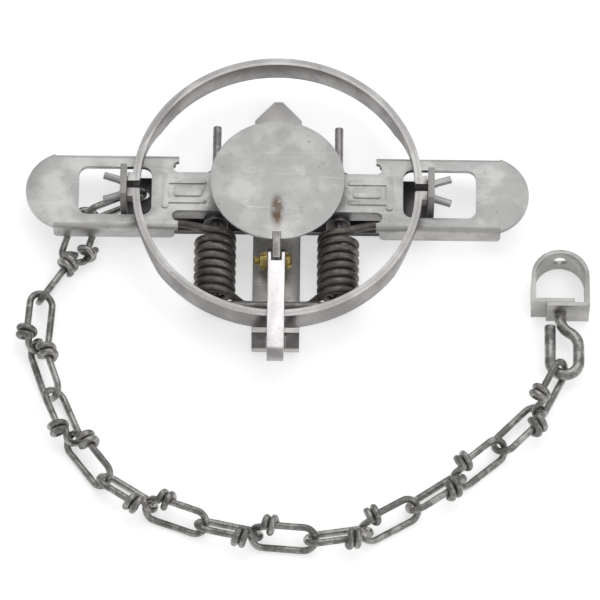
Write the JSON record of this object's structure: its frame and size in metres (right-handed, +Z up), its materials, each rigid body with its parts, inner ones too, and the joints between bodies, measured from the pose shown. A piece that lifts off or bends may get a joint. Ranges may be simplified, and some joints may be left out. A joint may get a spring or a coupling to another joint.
{
  "type": "leghold trap",
  "caption": "Set round-jaw leghold trap: sprung slotted levers on a flat frame, hinged jaws, round pan, dog, and a wire-link chain with a swivel.",
  "frame": {"origin": "on the floor, at the middle of the base strip's underside", "axes": "+X along the base strip towards the lever without the chain, +Y towards the cross strip's pointed end, +Z up"},
  "size_m": [0.2476, 0.2319, 0.028],
  "materials": {
    "frame_steel": "dull",
    "rod_steel": "dull",
    "spring_steel": "dull, oiled",
    "lever_steel": "satin",
    "jaw_steel": "satin",
    "bright_steel": "bright",
    "brass": "plain",
    "chain_steel": "dull"
  },
  "bodies": {
    "frame": {"base_frame": "frame_steel", "cross_strip": "frame_steel", "frame_rivets": "frame_steel", "spring_rod": "rod_steel", "left_spring": "spring_steel", "right_spring": "spring_steel", "pan_bracket": "rod_steel", "bracket_rivet": "rod_steel", "pan_bolt": "brass", "pan_nut": "brass"},
    "pan": {"pan": "lever_steel", "pan_shank": "rod_steel"},
    "dog": {"dog": "bright_steel"},
    "front_jaw": {"front_jaw": "jaw_steel"},
    "rear_jaw": {"rear_jaw": "jaw_steel"},
    "left_lever": {"left_lever": "lever_steel"},
    "right_lever": {"right_lever": "lever_steel"},
    "chain_link_01": {"chain_link_01": "chain_steel"},
    "chain_link_02": {"chain_link_02": "chain_steel"},
    "chain_link_03": {"chain_link_03": "chain_steel"},
    "chain_link_04": {"chain_link_04": "chain_steel"},
    "chain_link_05": {"chain_link_05": "chain_steel"},
    "chain_link_06": {"chain_link_06": "chain_steel"},
    "chain_link_07": {"chain_link_07": "chain_steel"},
    "chain_link_08": {"chain_link_08": "chain_steel"},
    "chain_link_09": {"chain_link_09": "chain_steel"},
    "chain_link_10": {"chain_link_10": "chain_steel"},
    "chain_link_11": {"chain_link_11": "chain_steel"},
    "chain_link_12": {"chain_link_12": "chain_steel"},
    "chain_link_13": {"chain_link_13": "chain_steel"},
    "chain_link_14": {"chain_link_14": "chain_steel"},
    "chain_link_15": {"chain_link_15": "chain_steel"},
    "chain_link_16": {"chain_link_16": "chain_steel"},
    "chain_link_17": {"chain_link_17": "chain_steel"},
    "swivel_hook": {"swivel_hook": "chain_steel"},
    "swivel_clevis": {"swivel_clevis": "chain_steel"}
  },
  "joints": [
    {"name": "pan_tilt", "type": "hinge", "parent": "frame", "child": "pan", "pos_m": [0, -0.032, 0.0134], "axis": [1, 0, 0], "range_deg": [-8, 0]},
    {"name": "dog_swing", "type": "hinge", "parent": "frame", "child": "dog", "pos_m": [0, -0.0705, 0.0206], "axis": [1, 0, 0], "range_deg": [0, 175]},
    {"name": "front_jaw_close", "type": "hinge", "parent": "frame", "child": "front_jaw", "pos_m": [0, -0.0037, 0.0194], "axis": [-1, 0, 0], "range_deg": [0, 21]},
    {"name": "rear_jaw_close", "type": "hinge", "parent": "frame", "child": "rear_jaw", "pos_m": [0, 0.0037, 0.0194], "axis": [1, 0, 0], "range_deg": [0, 21]},
    {"name": "left_lever_rise", "type": "hinge", "parent": "frame", "child": "left_lever", "pos_m": [-0.0267, 0, 0.0095], "axis": [0, 1, 0], "range_deg": [0, 5.04], "deforming": ["left_spring"]},
    {"name": "right_lever_rise", "type": "hinge", "parent": "frame", "child": "right_lever", "pos_m": [0.0267, 0, 0.0095], "axis": [0, -1, 0], "range_deg": [0, 5.04], "deforming": ["right_spring"]},
    {"name": "chain_link_01_turn", "type": "hinge", "parent": "frame", "child": "chain_link_01", "pos_m": [-0.0635, 0.00154, 0.007], "axis": [0, 0, 1], "range_deg": [-4, 0]},
    {"name": "chain_link_02_turn", "type": "hinge", "parent": "chain_link_01", "child": "chain_link_02", "pos_m": [-0.08148, -0.00685, 0.007], "axis": [0, 0, 1], "range_deg": [-15, 0]},
    {"name": "chain_link_03_turn", "type": "hinge", "parent": "chain_link_02", "child": "chain_link_03", "pos_m": [-0.08879, -0.02851, 0.00636], "axis": [0, 0, 1], "range_deg": [-12, 0]},
    {"name": "chain_link_04_turn", "type": "hinge", "parent": "chain_link_03", "child": "chain_link_04", "pos_m": [-0.10124, -0.04842, 0.00726], "axis": [0, 0, 1], "range_deg": [-15, 0]},
    {"name": "chain_link_05_turn", "type": "hinge", "parent": "chain_link_04", "child": "chain_link_05", "pos_m": [-0.10287, -0.07185, 0.00646], "axis": [0, 0, 1], "range_deg": [-15, 0]},
    {"name": "chain_link_06_turn", "type": "hinge", "parent": "chain_link_05", "child": "chain_link_06", "pos_m": [-0.09523, -0.09406, 0.00586], "axis": [0, 0, 1], "range_deg": [-15, 0]},
    {"name": "chain_link_07_turn", "type": "hinge", "parent": "chain_link_06", "child": "chain_link_07", "pos_m": [-0.08605, -0.11569, 0.00546], "axis": [0, 0, 1], "range_deg": [-15, 0]},
    {"name": "chain_link_08_turn", "type": "hinge", "parent": "chain_link_07", "child": "chain_link_08", "pos_m": [-0.0719, -0.13446, 0.00546], "axis": [0, 0, 1], "range_deg": [-15, 0]},
    {"name": "chain_link_09_turn", "type": "hinge", "parent": "chain_link_08", "child": "chain_link_09", "pos_m": [-0.05219, -0.14726, 0.00546], "axis": [0, 0, 1], "range_deg": [-15, 0]},
    {"name": "chain_link_10_turn", "type": "hinge", "parent": "chain_link_09", "child": "chain_link_10", "pos_m": [-0.03011, -0.1553, 0.00546], "axis": [0, 0, 1], "range_deg": [-15, 0]},
    {"name": "chain_link_11_turn", "type": "hinge", "parent": "chain_link_10", "child": "chain_link_11", "pos_m": [-0.00713, -0.16018, 0.00546], "axis": [0, 0, 1], "range_deg": [-15, 0]},
    {"name": "chain_link_12_turn", "type": "hinge", "parent": "chain_link_11", "child": "chain_link_12", "pos_m": [0.01632, -0.16182, 0.00546], "axis": [0, 0, 1], "range_deg": [-15, 0]},
    {"name": "chain_link_13_turn", "type": "hinge", "parent": "chain_link_12", "child": "chain_link_13", "pos_m": [0.03953, -0.15815, 0.00546], "axis": [0, 0, 1], "range_deg": [-15, 0]},
    {"name": "chain_link_14_turn", "type": "hinge", "parent": "chain_link_13", "child": "chain_link_14", "pos_m": [0.05967, -0.14604, 0.00546], "axis": [0, 0, 1], "range_deg": [-15, 2]},
    {"name": "chain_link_15_turn", "type": "hinge", "parent": "chain_link_14", "child": "chain_link_15", "pos_m": [0.07892, -0.13256, 0.00566], "axis": [0, 0, 1], "range_deg": [-15, 2]},
    {"name": "chain_link_16_turn", "type": "hinge", "parent": "chain_link_15", "child": "chain_link_16", "pos_m": [0.09666, -0.11715, 0.00596], "axis": [0, 0, 1], "range_deg": [-15, 2]},
    {"name": "chain_link_17_turn", "type": "hinge", "parent": "chain_link_16", "child": "chain_link_17", "pos_m": [0.11297, -0.10025, 0.00686], "axis": [0, 0, 1], "range_deg": [-15, 4]},
    {"name": "hook_turn", "type": "hinge", "parent": "chain_link_17", "child": "swivel_hook", "pos_m": [0.12458, -0.07644, 0.00725], "axis": [0, 0, 1], "range_deg": [-30, 5]},
    {"name": "clevis_swivel", "type": "hinge", "parent": "swivel_hook", "child": "swivel_clevis", "pos_m": [0.12298, -0.05074, 0.00725], "axis": [0, 1, 0], "continuous": true}
  ],
  "couplings": [
    {"joint": "front_jaw_close", "follows": "dog_swing", "ratio": 0.12},
    {"joint": "rear_jaw_close", "follows": "dog_swing", "ratio": 0.12},
    {"joint": "left_lever_rise", "follows": "dog_swing", "ratio": 0.0288},
    {"joint": "right_lever_rise", "follows": "dog_swing", "ratio": 0.0288}
  ]
}
